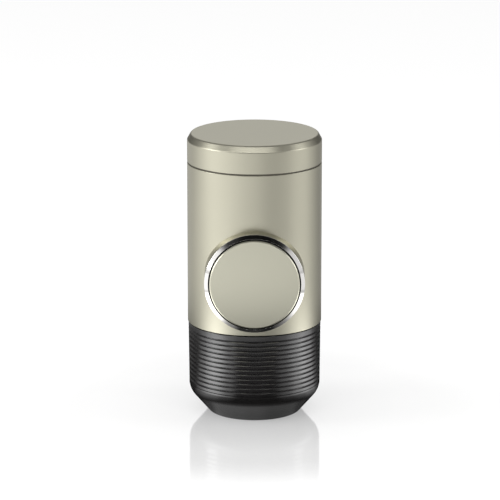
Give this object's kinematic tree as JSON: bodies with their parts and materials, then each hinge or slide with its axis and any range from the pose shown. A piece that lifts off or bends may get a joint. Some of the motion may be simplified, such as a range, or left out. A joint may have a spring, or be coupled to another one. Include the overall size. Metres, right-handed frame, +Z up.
{
  "type": "handheld espresso maker",
  "caption": "Pocket espresso maker: metal sleeve with a sideways hand-pump button, screw lid over a water tank, capsule chamber, and ribbed cup that screws on below.",
  "frame": {"origin": "centre of the cup's foot, on the axis of the body", "axes": "+Z up the body axis towards the lid, -Y out of the piston button, +X to the right seen from the front"},
  "size_m": [0.062, 0.0707, 0.1317],
  "materials": {
    "sleeve_metal": "satin",
    "lid_metal": "satin",
    "piston_metal": "satin",
    "bezel_chrome": "polished",
    "grip_plastic": "satin",
    "cup_plastic": "satin",
    "dark_plastic": "matte",
    "tank_plastic": "satin",
    "holder_aluminium": "satin",
    "pump_brass": "machined",
    "pump_steel": "machined",
    "seal_rubber": "matte"
  },
  "bodies": {
    "machine_body": {"body_sleeve": "sleeve_metal", "piston_bezel": "bezel_chrome", "piston_wiper": "seal_rubber", "chassis": "dark_plastic", "frame_screws": "pump_steel", "guide_tube": "dark_plastic", "guide_screws": "pump_steel", "stop_ring": "pump_steel", "pump_cylinder": "pump_brass", "cylinder_end_cap": "pump_brass", "end_cap_seal": "seal_rubber", "rod_guide": "dark_plastic", "piston_spring": "pump_steel", "inlet_valve_seat": "dark_plastic", "inlet_spring": "pump_steel", "outlet_valve_seat": "dark_plastic", "outlet_spring": "pump_steel", "water_tank": "tank_plastic", "tank_outlet_seal": "seal_rubber", "tank_screws": "pump_steel", "brew_head": "dark_plastic", "brew_seal": "seal_rubber", "needle_plate": "pump_steel", "needle_seal": "seal_rubber", "capsule_holder": "holder_aluminium"},
    "pump_rod": {"plunger": "pump_steel", "plunger_seals": "seal_rubber", "rod_clip": "pump_steel"},
    "piston_button": {"piston_cap": "piston_metal", "piston_skirt": "dark_plastic"},
    "inlet_valve": {"inlet_ball": "pump_steel"},
    "outlet_valve": {"outlet_ball": "pump_steel"},
    "lid_ring": {"lid_seal": "seal_rubber"},
    "lid": {"lid_cap": "lid_metal", "lid_liner": "dark_plastic", "vent_valve": "seal_rubber"},
    "cup_ring": {"cup_seal": "seal_rubber"},
    "coffee_cup": {"cup": "cup_plastic", "cup_grip": "grip_plastic"},
    "outlet_ring": {"outlet_seal": "seal_rubber"},
    "outlet": {"outlet_head": "dark_plastic", "pin_plate": "pump_steel"}
  },
  "joints": [
    {"name": "lid_lift", "type": "slide", "parent": "machine_body", "child": "lid_ring", "axis": [0, 0, 1], "range_m": [0, 0.03]},
    {"name": "lid_turn", "type": "hinge", "parent": "lid_ring", "child": "lid", "pos_m": [0, 0, 0.12], "axis": [0, 0, 1], "range_deg": [0, 720]},
    {"name": "cup_drop", "type": "slide", "parent": "machine_body", "child": "cup_ring", "axis": [0, 0, -1], "range_m": [0, 0.084]},
    {"name": "cup_turn", "type": "hinge", "parent": "cup_ring", "child": "coffee_cup", "pos_m": [0, 0, 0.04], "axis": [0, 0, -1], "range_deg": [0, 720]},
    {"name": "outlet_drop", "type": "slide", "parent": "machine_body", "child": "outlet_ring", "axis": [0, 0, -1], "range_m": [0, 0.036]},
    {"name": "outlet_turn", "type": "hinge", "parent": "outlet_ring", "child": "outlet", "pos_m": [0, 0, 0.03], "axis": [0, 0, -1], "range_deg": [0, 360]},
    {"name": "piston_stroke", "type": "slide", "parent": "machine_body", "child": "pump_rod", "axis": [0, -1, 0], "range_m": [0, 0.016], "deforming": ["piston_spring"]},
    {"name": "piston_lock", "type": "hinge", "parent": "pump_rod", "child": "piston_button", "pos_m": [0, 0, 0.0694], "axis": [0, 1, 0], "range_deg": [0, 40]},
    {"name": "inlet_ball_drop", "type": "slide", "parent": "machine_body", "child": "inlet_valve", "axis": [0, 0, -1], "range_m": [0, 0.0012], "stiffness_N_per_m": 20, "springref_m": -0.001, "deforming": ["inlet_spring"]},
    {"name": "outlet_ball_drop", "type": "slide", "parent": "machine_body", "child": "outlet_valve", "axis": [0, 0, -1], "range_m": [0, 0.0012], "stiffness_N_per_m": 20, "springref_m": -0.001, "deforming": ["outlet_spring"]}
  ],
  "couplings": [
    {"joint": "lid_lift", "follows": "lid_turn", "m_per_rad": 0.0023873},
    {"joint": "cup_drop", "follows": "cup_turn", "m_per_rad": 0.0066845},
    {"joint": "outlet_drop", "follows": "cup_turn", "m_per_rad": 0.0028647},
    {"joint": "outlet_turn", "follows": "cup_turn", "ratio": 0.5}
  ]
}
